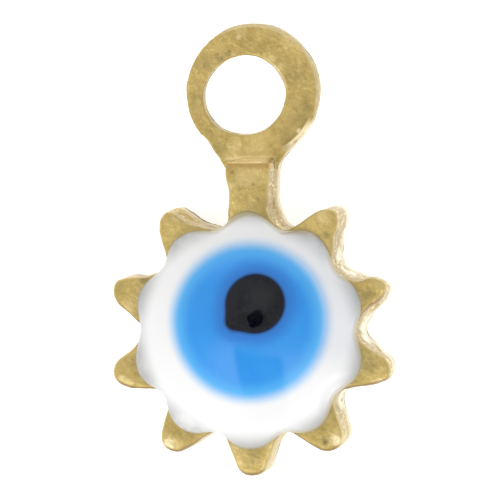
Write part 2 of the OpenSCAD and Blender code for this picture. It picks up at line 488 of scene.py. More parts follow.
def pupil_cutter():
    """A circle and a small corner circle, wrapped in one outline and drawn up."""
    floor = DOME_FOOT + PUPIL_FLOOR
    deselect()
    circles = []
    for vertices, radius, middle in ((PUPIL_POINTS, PUPIL_R, PUPIL_AT),
                                     (CORNER_POINTS, CORNER_R, CORNER_AT)):
        bpy.ops.mesh.primitive_circle_add(vertices=vertices, radius=radius,
                                          location=middle + Vector((0, 0, floor)))
        circles.append(bpy.context.object)
    take(*reversed(circles))
    bpy.ops.object.join()
    settle()
    drop = bpy.context.object
    edit(drop)
    bpy.ops.mesh.select_all(action="SELECT")
    bpy.ops.mesh.convex_hull()
    bpy.ops.mesh.select_all(action="SELECT")
    bpy.ops.mesh.dissolve_limited(angle_limit=CUT_FLAT_WITHIN)
    bpy.ops.mesh.select_all(action="SELECT")
    bpy.ops.mesh.extrude_region_move(TRANSFORM_OT_translate={"value": (0, 0, CUT_TOP - floor)})
    bpy.ops.mesh.select_all(action="SELECT")
    bpy.ops.mesh.normals_make_consistent(inside=False)
    done()
    return drop


def copy_piece(piece):
    take(piece)
    bpy.ops.object.duplicate()
    return bpy.context.object


def cut(piece, cutter, operation):
    modify(piece, "BOOLEAN", object=cutter, operation=operation, solver="EXACT")


def enamel_pieces():
    white = enamel_dome()
    iris = copy_piece(white)
    pupil = copy_piece(white)
    round_cut, drop_cut = iris_cutter(), pupil_cutter()
    cut(white, round_cut, "DIFFERENCE")
    cut(iris, round_cut, "INTERSECT")
    cut(iris, drop_cut, "DIFFERENCE")
    cut(pupil, drop_cut, "INTERSECT")
    for cutter in (round_cut, drop_cut):
        bpy.data.objects.remove(cutter)
    for piece in (white, iris, pupil):
        take(piece)
        bpy.ops.object.shade_smooth_by_angle(angle=SMOOTH_UNDER)
    return white, iris, pupil


# Finishes

# The nodes at the end of a tree, in the order in which they stand
LAST_NODES = ("Background", "Principled BSDF", "World Output", "Material Output")
COLUMN, ROW = 220, 180


class Tree:
    """A node tree, with a short call for each kind of node that the finishes and the tent use.

    Each value that a call takes is a plain one or another node's output.
    """

    def __init__(self, tree):
        self.tree = tree

    def feed(self, socket, value):
        if isinstance(value, bpy.types.NodeSocket):
            self.tree.links.new(value, socket)
        elif socket.type == "RGBA":
            socket.default_value = (*value, 1)
        else:
            socket.default_value = value

    def add(self, kind, inputs=None, **settings):
        """A node with its settings; its inputs go by name or by number."""
        new = self.tree.nodes.new(kind)
        for name, value in settings.items():
            setattr(new, name, value)
        for socket, value in (inputs or {}).items():
            self.feed(new.inputs[socket], value)
        return new

    def math(self, operation, *values):
        return self.add("ShaderNodeMath", dict(enumerate(values)), operation=operation).outputs[0]

    def times(self, first, *others):
        for other in others:
            first = self.math("MULTIPLY", first, other)
        return first

    def vector(self, operation, first, second):
        return self.add("ShaderNodeVectorMath", {0: first, 1: second}, operation=operation).outputs

    def distance(self, first, second):
        return self.vector("DISTANCE", first, second)["Value"]

    def toward(self, way, direction):
        return self.vector("DOT_PRODUCT", way, direction)["Value"]

    def flat(self, place):
        """A place without its height."""
        return self.vector("MULTIPLY", place, (1, 1, 0))["Vector"]

    def split(self, vector):
        """The three numbers of a vector."""
        return self.add("ShaderNodeSeparateXYZ", {"Vector": vector}).outputs

    def noise(self, place, scale, detail, roughness=0.5):
        return self.add("ShaderNodeTexNoise", {
            "Vector": place, "Scale": scale, "Detail": detail, "Roughness": roughness,
        }).outputs["Fac"]

    def fade(self, value, low, high, to_low=0.0, to_high=1.0, kind="SMOOTHSTEP"):
        """A step of a value from low to high, smooth or straight."""
        return self.add("ShaderNodeMapRange", {
            "Value": value, "From Min": low, "From Max": high, "To Min": to_low, "To Max": to_high,
        }, interpolation_type=kind).outputs["Result"]

    def blend(self, mask, first, second, kind="MIX"):
        """The first colour, and the second where the mask is 1."""
        return self.add("ShaderNodeMix", {0: mask, 6: first, 7: second},
                        data_type="RGBA", blend_type=kind).outputs[2]

    def lay(self, color, *layers):
        """Lays tints over a colour; each layer is its mask and its tint."""
        for mask, tint in layers:
            color = self.blend(mask, color, tint)
        return color

    def use(self, group, **inputs):
        """The outputs of a group that is placed in this tree."""
        return self.add("ShaderNodeGroup", inputs, node_tree=group).outputs

    def cloudy(self, place, scale, low, high):
        """A mask of clouds at this many per millimetre."""
        return self.use(CLOUDY, Place=place, Scale=scale, From=low, To=high)["Mask"]

    def spots(self, place, color, tint, rows):
        """Lays soft round spots of one tint over a colour."""
        for x, y, height, reach, strength in rows:
            spot = self.use(SPOT, Place=place, Middle=(x, y, height), Reach=reach,
                            Strength=strength)
            color = self.blend(spot["Mask"], color, tint)
        return color

    def in_mm(self, stretch=1.0):
        """Places in millimetres round the sun's centre; stretch squeezes the heights."""
        return self.add("ShaderNodeMapping", {
            "Vector": self.add("ShaderNodeTexCoord").outputs["Object"],
            "Location": HOLE, "Scale": (1 / MM, 1 / MM, stretch / MM),
        }).outputs["Vector"]

    def close(self, name, inputs):
        """Feeds the named node and sets all out in columns, each right of what feeds it."""
        nodes = self.tree.nodes
        for label, value in inputs.items():
            self.feed(nodes[name].inputs[label], value)
        feeders, columns, filled = {}, {}, {}
        for link in self.tree.links:
            feeders.setdefault(link.to_node.name, set()).add(link.from_node.name)
        made = [each for each in nodes if each.name not in LAST_NODES]
        last = [nodes[label] for label in LAST_NODES if label in nodes]
        for each in made + last:
            behind = [columns[feeder] for feeder in feeders.get(each.name, ())]
            column = columns[each.name] = 1 + max(behind, default=0)
            filled[column] = filled.get(column, 0) + 1
            each.location = (column * COLUMN, -filled[column] * ROW)


def new_group(name, inputs, outputs):
    """A node group: an input without a number is a vector, and each output is a number."""
    tree = bpy.data.node_groups.new(name, "ShaderNodeTree")
    for label, value in inputs.items():
        kind = "NodeSocketVector" if value is None else "NodeSocketFloat"
        socket = tree.interface.new_socket(name=label, in_out="INPUT", socket_type=kind)
        if value is not None:
            socket.default_value = value
    for label in outputs:
        tree.interface.new_socket(name=label, in_out="OUTPUT", socket_type="NodeSocketFloat")
    group = Tree(tree)
    return group, group.add("NodeGroupInput").outputs


def close_group(group, results):
    group.add("NodeGroupOutput")
    group.close("Group Output", results)
    return group.tree


def cloudy_group():
    """Soft clouds between 0 and 1, at a scale per millimetre and between two levels."""
    group, given = new_group(
        "cloudy", {"Place": None, "Scale": 2.0, "From": 0.35, "To": 0.65}, ("Mask",))
    clouds = group.noise(given["Place"], given["Scale"], 5, 0.6)
    return close_group(group, {"Mask": group.fade(clouds, given["From"], given["To"])})


# A spot's edge: waves along its reach and their height, and the shares of its reach from where
# it fades to where it ends
SPOT_WAVES, SPOT_WAVE_HEIGHT, SPOT_FULL, SPOT_END = 1.3, 1.6, 0.9, 1.9


def spot_group():
    """A soft round spot with a wavy edge, between 0 and 1."""
    group, given = new_group(
        "spot", {"Place": None, "Middle": None, "Reach": 0.5, "Strength": 0.5}, ("Mask",))
    waves = group.noise(given["Place"], group.math("DIVIDE", SPOT_WAVES, given["Reach"]), 3)
    share = group.math("DIVIDE", group.distance(given["Place"], given["Middle"]), given["Reach"])
    share = group.math("ADD", share, group.times(waves, SPOT_WAVE_HEIGHT))
    soft = group.fade(share, SPOT_FULL, SPOT_END, 1.0, 0.0)
    return close_group(group, {"Mask": group.times(soft, given["Strength"])})


# The reach of the subdivided rim: its middle, and half of what its lobes stand out
LOBE_MID = 3.2
LOBE_HALF = 0.16
# The enamel ran out further to the left: toward which side, how much, and how much all round
SWELL_ANGLE, SWELL, SWELL_ALL = math.radians(205), 0.13, 0.02


def rim_group():
    """How far a place lies from the sun's axis, and outside the enamel's scalloped rim, in mm."""
    group, given = new_group("enamel_rim", {"Place": None}, ("From Axis", "Past Rim"))
    x, y, _ = group.split(given["Place"])
    angle = group.math("SUBTRACT", group.math("ARCTAN2", y, x), STEM_ANGLE)
    lobes = group.math("COSINE", group.times(angle, PLACES))
    reach = group.math("MULTIPLY_ADD", lobes, LOBE_HALF, LOBE_MID)
    from_axis = group.math("SQRT", group.math("ADD", group.times(x, x), group.times(y, y)))
    left = group.math("DIVIDE", group.toward(given["Place"], around(1, SWELL_ANGLE)), from_axis)
    swell = group.math("MULTIPLY_ADD", group.math("MAXIMUM", left, 0.0), SWELL, SWELL_ALL)
    past = group.math("SUBTRACT", group.math("SUBTRACT", from_axis, swell), reach)
    return close_group(group, {"From Axis": from_axis, "Past Rim": past})


# The middle of the blue's soft edge, how far that edge wanders and how often, and how softly
# the pupil's corner runs into its circle
IRIS_RING_AT = Vector((0.115, 0.338, 0))
IRIS_WAVE, IRIS_WAVES_PER_MM = 0.05, 0.9
CORNER_SOFT = 0.4


def eye_group():
    """How far a place lies from the iris's middle and outside the pupil's drop, in millimetres."""
    group, given = new_group(
        "eye_rings", {"Place": None, "Wave": IRIS_WAVE}, ("From Iris", "Past Pupil"))
    flat = group.flat(given["Place"])
    waves = group.math("SUBTRACT", group.noise(given["Place"], IRIS_WAVES_PER_MM, 1), 0.5)
    from_iris = group.math(
        "ADD", group.distance(flat, IRIS_RING_AT), group.times(waves, given["Wave"]))
    past_round = group.math("SUBTRACT", group.distance(flat, PUPIL_AT), PUPIL_R)
    past_corner = group.math("SUBTRACT", group.distance(flat, CORNER_AT), CORNER_R)
    past_pupil = group.math("SMOOTH_MIN", past_round, past_corner, CORNER_SOFT)
    return close_group(group, {"From Iris": from_iris, "Past Pupil": past_pupil})


CLOUDY = cloudy_group()
SPOT = spot_group()
RIM = rim_group()
EYE = eye_group()


def new_material(name):
    material = bpy.data.materials.new(name)
    material.use_nodes = True
    return material, Tree(material.node_tree)


# Spots: middle in mm from the sun's centre, on the ring's or the sun's front, reach, strength
# Lighter spots: partly wear on the brass, partly painted highlights on the ray tips and edges
WEAR_AND_SHEEN_TINT = (0.78, 0.61, 0.27)
WEAR_AND_SHEEN_SPOTS = (
    (-0.70, 5.13, RING_T, 0.45, 0.8),
    (-0.05, 5.13, RING_T, 0.5, 0.95),
    (-0.1, 4.45, BODY_T, 0.5, 0.6),
    (0.35, 7.80, RING_T, 0.16, 1.0),
    (0.60, 7.55, RING_T, 0.12, 0.9),
    (0.82, 8.32, RING_T, 0.30, 0.55),
    (2.09, 3.28, BODY_T, 0.30, 0.8),
    (-2.04, 3.32, BODY_T, 0.36, 1.0),
    (-3.49, 0.70, BODY_T, 0.30, 0.7),
    (-2.30, -3.30, BODY_T, 0.40, 0.7),
    (-0.36, -3.80, BODY_T, 0.22, 1.0),
    (0.36, -3.79, BODY_T, 0.14, 0.9),
    (-0.47, -3.36, BODY_T, 0.20, 1.0),
    (0.53, -3.32, BODY_T, 0.18, 1.0),
    (0.30, 4.30, BODY_T, 0.12, 0.7),
    (-0.55, 4.16, BODY_T, 0.20, 0.6),
    (-0.58, 8.52, RING_T, 0.26, 0.5),
    (2.51, -2.84, BODY_T, 0.15, 0.8),
    (3.59, -0.62, BODY_T, 0.13, 0.8),
    (-1.22, 5.76, RING_T, 0.16, 0.7),
    (-3.55, -1.52, BODY_T, 0.20, 1.0),
    (3.58, -1.43, BODY_T, 0.10, 1.2),
    (3.80, 1.35, BODY_T, 0.20, 0.6),
)
DARK_TINT = (0.36, 0.285, 0.115)
DARK_SPOTS = (
    (1.10, 7.30, RING_T, 0.35, 0.35),
    (1.34, 6.40, RING_T, 0.26, 0.7),
    (1.12, 6.0, RING_T, 0.4, 0.6),
    (-1.18, 7.76, RING_T, 0.28, 0.8),
    (-0.94, 7.90, RING_T, 0.14, 0.8),
    (0.88, 5.30, RING_T, 0.24, 0.9),
    (-1.14, 5.20, RING_T, 0.22, 0.5),
    (-3.12, 1.46, BODY_T, 0.28, 0.8),
    (-3.17, 1.54, BODY_T, 0.18, 0.9),
    (-3.48, -0.95, BODY_T, 0.26, 0.35),
    (3.78, 0.97, BODY_T, 0.20, 0.7),
    (2.44, 2.68, BODY_T, 0.20, 0.6),
    (0.05, -3.62, BODY_T, 0.28, 0.5),
    (0.75, 5.6, RING_T, 0.35, 0.4),
    (-1.85, 6.7, RING_T, 0.5, 0.35),
    (-1.6, 7.6, RING_T, 0.35, 0.35),
    (0.1, 3.6, BODY_T, 0.6, 0.5),
    (2.22, 2.80, BODY_T, 0.18, 0.8),
    (3.42, 1.12, BODY_T, 0.24, 0.8),
    (3.50, -0.92, BODY_T, 0.28, 0.7),
    (2.16, -3.16, BODY_T, 0.16, 0.9),
    (-3.84, 1.22, BODY_T, 0.25, 0.4),
)
FLECK_TINT = (0.24, 0.175, 0.065)
FLECKS = (
    (-0.52, 4.56, BODY_T, 0.08, 0.7),
    (0.09, 4.24, BODY_T, 0.07, 0.45),
    (-0.15, 3.86, BODY_T, 0.08, 0.5),
    (0.22, 3.82, BODY_T, 0.08, 0.4),
    (-1.12, 7.80, RING_T, 0.10, 0.6),
    (-1.26, 7.90, RING_T, 0.08, 0.5),
    (-0.90, 8.00, RING_T, 0.08, 0.5),
    (-1.62, 7.55, RING_T, 0.09, 0.5),
    (-1.80, 7.36, RING_T, 0.06, 0.4),
    (0.82, 5.26, RING_T, 0.10, 0.6),
    (2.16, -3.17, BODY_T, 0.09, 0.8),
)
# Painted highlights where the metal shines: glints on the lower rays' tips, the walls' glints and
# a fleck on the ring
GLINT_TINT = (0.96, 0.80, 0.46)
GLINT_SPOTS = (
    (2.48, -3.09, BODY_T, 0.21, 1.3),
    (3.74, -1.40, BODY_T, 0.13, 1.1),
    (-2.40, -3.23, BODY_T, 0.21, 1.2),
    (-3.74, -1.38, BODY_T, 0.13, 0.7),
    (-2.24, 3.34, 0.40, 0.20, 0.8),
    (0.82, 4.99, 0.40, 0.13, 1.0),
    (0.50, 3.81, 1.50, 0.22, 0.5),
    (1.14, 5.71, RING_T, 0.10, 1.0),
    (-0.62, 8.40, RING_T, 0.09, 0.6),
)
# Darker places on the walls; the two at height 0 are painted shade at the foot of the upper right
# valley
WALL_TINT = (0.30, 0.24, 0.12)
WALL_SPOTS = (
    (3.89, -1.23, 1.0, 0.55, 0.6),
    (2.37, 1.93, 0.0, 0.18, 1.2),
    (2.54, 1.67, 0.0, 0.18, 1.2),
    (-3.17, 1.54, 1.90, 0.22, 0.7),
    (-1.36, 2.95, 1.00, 0.26, 0.8),
)
PITTED_AT, PITTED_REACH, PITS_ELSEWHERE = Vector((-1.6, 7.5, RING_T)), 1.1, 0.35
# The foot of the cast step, and the middle of the painted highlight band along it
STEP_Y, STEP_BAND_X = STEM_REACH + 0.12, -0.30
# The ring's lower right edge, with a painted highlight and painted shade: its middle, and how far
# it reaches to either side
LIT_EDGE_AT, LIT_EDGE_REACH = Vector((1.14, 5.58, 0)), 0.5
# The pocket walls between the right rays, with their mottled painted highlight, end this far from
# the axis
POCKET_REACH = 3.15
# Heights squeezed this much draw a pattern out along the outline, or up the walls
LAYERED, UPRIGHT = 2.0, 0.3
RELIEF_PER_MM, RELIEF_STRENGTH, RELIEF_DEPTH = 7, 0.5, 0.05


def brass_places(tree):
    """Where a point of the brass lies and which way it faces."""
    place = tree.in_mm()
    x, y, z = tree.split(place)
    _, normal_y, normal_z = tree.split(tree.add("ShaderNodeNewGeometry").outputs["Normal"])
    rim = tree.use(RIM, Place=place)
    flat = tree.flat(place)
    from_ring = tree.distance(flat, RING_AT)
    # The ring's lower right edge, where a painted highlight (shine) and a band of painted shade
    # lie
    lit_edge = tree.times(
        tree.fade(tree.distance(flat, LIT_EDGE_AT),
                  LIT_EDGE_REACH * 0.5, LIT_EDGE_REACH * 1.4, 1.0, 0.0),
        tree.fade(z, BODY_T * 0.4, BODY_T * 0.5, 1.0, 0.0))
    return SimpleNamespace(
        place=place, x=x, y=y, z=z, flat=flat, normal_y=normal_y,
        layers=tree.in_mm(LAYERED), shear=tree.in_mm(UPRIGHT),
        small=tree.cloudy(place, 3.2, 0.36, 0.66),
        wall=tree.fade(tree.math("ABSOLUTE", normal_z), 0.55, 0.93, 1.0, 0.0),
        past_rim=rim["Past Rim"], from_ring=from_ring, lit_edge=lit_edge,
        shine=tree.times(lit_edge, tree.fade(from_ring, RING_R - 0.10, RING_R - 0.075)),
        pocket=tree.times(
            tree.fade(rim["From Axis"], POCKET_REACH, POCKET_REACH + 0.4, 1.0, 0.0),
            tree.fade(x, 1.0, 1.6)))


def brass_face(tree, at):
    """Flat faces: blotches and specks, worn places with painted highlights, dark places, and
    painted highlights and shade on the ring's edges.
    """
    broad = tree.cloudy(at.place, 0.9, 0.3, 0.7)
    fine = tree.cloudy(at.place, 11.0, 0.40, 0.64)
    pitted = tree.use(SPOT, Place=at.place, Middle=PITTED_AT, Reach=PITTED_REACH, Strength=1.0)
    specks = tree.times(tree.cloudy(at.place, 7.0, 0.64, 0.72),
                        tree.math("MAXIMUM", pitted["Mask"], PITS_ELSEWHERE))
    face = tree.blend(broad, (0.541, 0.412, 0.140), (0.685, 0.517, 0.190))
    face = tree.blend(tree.fade(at.y, 5.4, 6.2), face, (0.94, 0.925, 0.91), "MULTIPLY")
    face = tree.blend(tree.times(at.small, 0.45), face, (0.66, 0.60, 0.48), "MULTIPLY")
    face = tree.lay(face, (tree.times(fine, 0.29), (0.76, 0.60, 0.27)),
                    (specks, (0.25, 0.19, 0.08)))
    face = tree.spots(at.place, face, WEAR_AND_SHEEN_TINT, WEAR_AND_SHEEN_SPOTS)
    face = tree.spots(at.place, face, DARK_TINT, DARK_SPOTS)
    face = tree.spots(at.place, face, FLECK_TINT, FLECKS)
    # Painted shade in a band inside the ring's lower right edge, and a painted highlight just past
    # that edge
    groove_shade = tree.times(at.lit_edge, tree.math(
        "SUBTRACT", tree.fade(at.from_ring, RING_R - 0.27, RING_R - 0.15, 0.0, 0.6),
        tree.fade(at.from_ring, RING_R - 0.11, RING_R - 0.08, 0.0, 0.6)))
    # Painted highlights on the ring's upper right outer edge and on the hole's upper right edge
    ring_edge_highlight = tree.times(tree.fade(at.from_ring, RING_R - 0.07, RING_R - 0.01, 0.0, 0.55),
                           tree.fade(at.y, 6.0, 6.6), tree.fade(at.x, -1.5, -0.7))
    hole_edge_highlight = tree.times(
        tree.fade(tree.distance(at.flat, HOLE), HOLE_R + 0.03, HOLE_R + 0.12, 0.6, 0.0),
        tree.fade(at.x, 0.0, 0.4), tree.fade(at.y, 6.7, 7.2))
    edge_wall_highlight = tree.times(
        at.lit_edge, tree.fade(at.from_ring, RING_R - 0.02, RING_R + 0.01, 0.0, 0.9))
    return tree.lay(face, (groove_shade, (0.34, 0.27, 0.10)),
                    (tree.math("MAXIMUM", ring_edge_highlight, hole_edge_highlight), (0.93, 0.78, 0.47)),
                    (at.shine, (1.0, 0.87, 0.53)), (edge_wall_highlight, (0.80, 0.67, 0.47)))


def brass_wall(tree, at):
    """Walls: layers that run round the outline, golden by the front, a painted bright reflection
    by the back, painted shade at the foot and facing up.
    """
    streaks = tree.cloudy(at.layers, 2.2, 0.34, 0.62)
    dents = tree.cloudy(at.shear, 8.0, 0.52, 0.62)
    glints = tree.math("MAXIMUM", tree.cloudy(at.layers, 10.0, 0.56, 0.66),
                       tree.cloudy(at.shear, 11.0, 0.55, 0.63))
    chips = tree.cloudy(at.shear, 9.0, 0.48, 0.56)
    # Painted highlight: a mottled near-white glare low on the pocket walls
    pocket_glare = tree.times(at.pocket, tree.fade(at.z, 0.9, 1.4, 0.9, 0.0),
                       tree.cloudy(at.shear, 3.0, 0.36, 0.50))
    # Painted reflection of the bright table on the back part of the walls
    low = tree.times(tree.fade(at.z, 0.30, 0.65, 1.0, 0.0), tree.fade(at.y, 5.2, 6.2, 1.0, 0.0))
    ring_side = tree.times(tree.fade(at.y, 5.2, 6.2), 0.75)
    # Painted shade: walls on the left that face up are darker and more golden
    up_facing_shade = tree.times(tree.fade(at.normal_y, 0.1, 0.5, 0.0, 0.5),
                            tree.fade(at.x, -1.6, -0.8, 1.0, 0.0))
    lowest = tree.fade(at.y, -3.0, -2.2, 0.5, 0.0)
    # Painted shade: a dark broken line along the walls' foot, where they meet the table, also on
    # walls facing up
    foot = tree.times(tree.fade(at.z, 0.12, 0.26, 1.0, 0.0), tree.math(
        "MAXIMUM", tree.cloudy(at.place, 1.1, 0.48, 0.60),
        tree.times(at.pocket, tree.cloudy(at.place, 2.2, 0.42, 0.52))))
    upper_foot = tree.times(
        tree.fade(at.z, 0.20, 0.36, 0.9, 0.0), tree.fade(at.normal_y, 0.3, 0.6),
        tree.fade(at.x, -1.1, -0.9, 1.0, 0.0), tree.cloudy(at.place, 3.0, 0.40, 0.50))
    by_front = tree.fade(at.z, BODY_T - 0.30, BODY_T - 0.05, 0.0, 0.85)
    wall = tree.lay(
        tree.blend(streaks, (0.38, 0.28, 0.105), (0.54, 0.425, 0.225)),
        (tree.times(dents, 0.7), (0.34, 0.25, 0.095)),
        (glints, (0.85, 0.73, 0.43)),
        (tree.times(chips, at.pocket, 0.8), (0.36, 0.30, 0.12)),
        (pocket_glare, (1.0, 0.96, 0.84)),
        (low, (0.82, 0.74, 0.55)),
        (ring_side, (0.46, 0.37, 0.17)),
        (at.shine, (0.84, 0.71, 0.52)),
        (up_facing_shade, (0.60, 0.46, 0.18)),
        (lowest, (0.56, 0.46, 0.20)),
        (tree.math("MAXIMUM", foot, upper_foot), (0.12, 0.09, 0.04)),
        (by_front, (0.50, 0.385, 0.165)))
    return tree.spots(at.place, wall, WALL_TINT, WALL_SPOTS)


def raw_brass():
    material, tree = new_material("raw_brass")
    at = brass_places(tree)
    color = tree.blend(at.wall, brass_face(tree, at), brass_wall(tree, at))
    color = tree.spots(at.place, color, GLINT_TINT, GLINT_SPOTS)

    # Painted shade: an olive shade on the brass beside the enamel, a brown band along the stem's
    # top and a narrow dark line where the front's soft edge turns down; a painted highlight on the
    # step's wall and foot
    enamel_side_shade = tree.times(tree.fade(at.past_rim, 0.02, 0.26, 0.23, 0.0),
                       tree.fade(at.z, BODY_T - 0.3, BODY_T - 0.1))
    # Painted shade: a brown band along the stem's top edge by the step
    brown = tree.times(tree.fade(at.y, STEP_Y - 0.22, STEP_Y - 0.10, 0.0, 0.85),
                       tree.fade(at.y, STEP_Y - 0.02, STEP_Y + 0.01, 1.0, 0.0),
                       tree.fade(at.z, 1.2, 1.6))
    off_middle = tree.math("ABSOLUTE", tree.math("SUBTRACT", at.x, STEP_BAND_X))
    # Painted highlight: a pale band on the step's wall and foot, which is also less metallic
    pale = tree.times(tree.fade(at.y, STEP_Y - 0.02, STEP_Y + 0.01),
                      tree.fade(at.y, STEP_Y + 0.06, STEP_Y + 0.18, 1.0, 0.0),
                      tree.fade(off_middle, 0.46, 0.82, 1.0, 0.0))
    # Painted shade: a narrow dark line on the front's soft edge where it faces down
    down_facing_shade = tree.times(tree.fade(at.normal_y, -0.60, -0.25, 0.75, 0.0),
                             tree.fade(at.z, BODY_T - 0.50, BODY_T - 0.30))
    color = tree.lay(color, (enamel_side_shade, (0.27, 0.22, 0.10)), (brown, (0.53, 0.35, 0.125)),
                     (pale, (0.90, 0.70, 0.34)), (down_facing_shade, (0.27, 0.18, 0.10)))

    # The relief runs in layers round the walls and evenly over the faces
    height = tree.add("ShaderNodeMix", {
        0: at.wall, 2: tree.noise(at.place, RELIEF_PER_MM, 5),
        3: tree.noise(at.layers, RELIEF_PER_MM, 6),
    }, data_type="FLOAT").outputs[0]
    relief = tree.add("ShaderNodeBump", {
        "Strength": RELIEF_STRENGTH, "Distance": RELIEF_DEPTH * MM, "Height": height,
    }).outputs["Normal"]
    rough_wall = tree.times(pale, tree.fade(at.normal_y, 0.5, 0.8))
    tree.close("Principled BSDF", {
        "Base Color": color,
        "Roughness": tree.fade(at.small, 0.0, 1.0, 0.30, 0.46, "LINEAR"),
        "Metallic": tree.math("MULTIPLY_ADD", rough_wall, -0.7, 1.0),
        "Normal": relief,
    })
    return material


ENAMEL_GLOSS = {"Roughness": 0.07, "IOR": 1.47}
WHITE_TONE = (0.785, 0.785, 0.785)
BLUE_DEEP, BLUE_LIGHT = (0.015, 0.250, 0.70), (0.022, 0.275, 0.73)
RIM_BLUE = (0.078, 0.40, 0.79)
TOP_BLUE = (0.060, 0.34, 0.90)
PUPIL_SHADE, PUPIL_LINE = (0.012, 0.13, 0.48), (0.004, 0.02, 0.07)
# Where the painted rim shade is lifted and the white's edge is as light as its middle: place,
# reach and strength
EDGE_HEIGHT = BODY_T + 0.15
EDGE_LIGHTS = (
    (-1.86, -2.57, EDGE_HEIGHT, 0.60, 0.7),
    (1.83, 2.52, EDGE_HEIGHT, 0.45, 0.35),
    (-3.04, -0.99, EDGE_HEIGHT, 0.35, 0.35),
    (-1.83, 2.52, EDGE_HEIGHT, 0.40, 0.3),
)


def iris_color(tree, place):
    """Blue that pales outwards, runs into the white in a soft ring and darkens by the pupil."""
    _, y, _ = tree.split(place)
    eye = tree.use(EYE, Place=place)
    from_iris, past_pupil = eye["From Iris"], eye["Past Pupil"]
    blue = tree.blend(tree.cloudy(place, 0.8, 0.3, 0.7), BLUE_DEEP, BLUE_LIGHT)
    return tree.lay(
        blue,
        (tree.fade(y, 1.2, 2.3, 0.0, 0.5), TOP_BLUE),
        (tree.fade(from_iris, 1.62, 2.18), RIM_BLUE),
        (tree.fade(past_pupil, 0.0, 0.58, 0.78, 0.0), PUPIL_SHADE),
        (tree.fade(past_pupil, -0.03, 0.09, 0.9, 0.0), PUPIL_LINE),
        (tree.fade(from_iris, 2.01, 2.49), WHITE_TONE))


def white_enamel():
    """White with painted shade where it falls to the rim, a painted brass reflection there and
    painted shade to the right.
    """
    material, tree = new_material("white_enamel")
    place = tree.in_mm()
    x, y, _ = tree.split(place)
    rim = tree.use(RIM, Place=place)
    off_stem = tree.math("ABSOLUTE", x)
    by_stem = tree.times(tree.fade(y, 2.4, 3.0, 0.0, 0.18),
                         tree.fade(off_stem, 0.55, 1.0, 1.0, 0.0))
    # Painted shade where the dome falls steeply to its rim
    rim_shade = tree.fade(tree.math("SUBTRACT", rim["From Axis"], by_stem), 2.80, 3.46)
    # Painted shade with a painted reflection of the brass where the enamel meets the metal
    rim_brass_reflection = tree.times(tree.fade(rim["Past Rim"], -0.13, 0.05),
                      tree.fade(x, -2.1, -1.3, 0.15, 1.0))
    # Painted shade along the lower rim, in the valleys beside the bottom ray
    low = tree.times(tree.fade(y, -2.5, -2.0, 0.45, 0.0),
                     tree.fade(off_stem, 1.2, 1.6, 1.0, 0.0),
                     tree.fade(rim["Past Rim"], -0.26, 0.03))
    # Painted shade: the right side is a little darker and bluer
    right_side_shade = tree.times(tree.fade(x, 0.5, 2.2), tree.fade(y, -1.2, -0.2))
    color = tree.lay(iris_color(tree, place), (rim_shade, (0.38, 0.38, 0.37)),
                     (rim_brass_reflection, (0.42, 0.36, 0.21)))
    color = tree.spots(place, color, WHITE_TONE, EDGE_LIGHTS)
    color = tree.blend(low, color, (0.36, 0.35, 0.32))
    color = tree.blend(right_side_shade, color, (0.92, 0.93, 0.96), "MULTIPLY")
    tree.close("Principled BSDF", {"Base Color": color, **ENAMEL_GLOSS})
    return material


def blue_enamel():
    material, tree = new_material("blue_enamel")
    tree.close("Principled BSDF",
               {"Base Color": iris_color(tree, tree.in_mm()), **ENAMEL_GLOSS})
    return material


PUPIL_SHEEN_AT = Vector((0.45, 1.05, DOME_FOOT + 1.3))


def black_enamel():
    """Black with faint clouds, a painted lighter reflection at its top right and a blue edge."""
    material, tree = new_material("black_enamel")
    place = tree.in_mm()
    color = tree.blend(tree.cloudy(place, 1.3, 0.42, 0.62),
                       (0.0005, 0.0008, 0.0047), (0.006, 0.007, 0.011))
    pupil_sheen = tree.use(SPOT, Place=place, Middle=PUPIL_SHEEN_AT, Reach=0.5, Strength=0.6)
    edge = tree.fade(tree.use(EYE, Place=place)["Past Pupil"], -0.07, -0.01, 0.0, 0.85)
    color = tree.lay(color, (tree.cloudy(place, 7.0, 0.45, 0.7), (0.008, 0.009, 0.011)),
                     (pupil_sheen["Mask"], (0.017, 0.019, 0.020)), (edge, (0.0, 0.012, 0.050)))
    tree.close("Principled BSDF", {"Base Color": color, **ENAMEL_GLOSS, "IOR": 1.36})
    return material


def plain_material(name, inputs):
    material, tree = new_material(name)
    tree.close("Principled BSDF", inputs)
    return material


def dress(piece, material):
    piece.data.materials.clear()
    piece.data.materials.append(material)


# Camera, lights and table

# The camera stands to the right of straight on and a little above, far off with a long lens
TILT_X, TILT_Y = math.radians(9.93), math.radians(3.54)
PX_PER_MM = 34.8
FRAME_PX = 500
AIM_PX = (250.8, 331.4)
CAMERA_FAR = 0.25
SENSOR = 36
CLIP = (0.01, 5)
# The dark front of the lens: its radius, stretch and place beside the camera
LENS_R, LENS_STRETCH = 0.022, (0.95, 1.6, 1)
LENS_OFF = Vector((-0.011, 0.004, 0.002))
TABLE_SIDE = 1.6
TABLE_GAP = 0.00005
# Lights: direction from the sun, width and height, power
LIGHT_FAR = 0.4
SOFTBOXES = {
    "left_softbox": ((-0.54, -0.64, 0.545), (0.32, 0.32), 0.37),
    "right_softbox": ((0.557, -0.557, 0.616), (0.24, 0.30), 0.13),
}


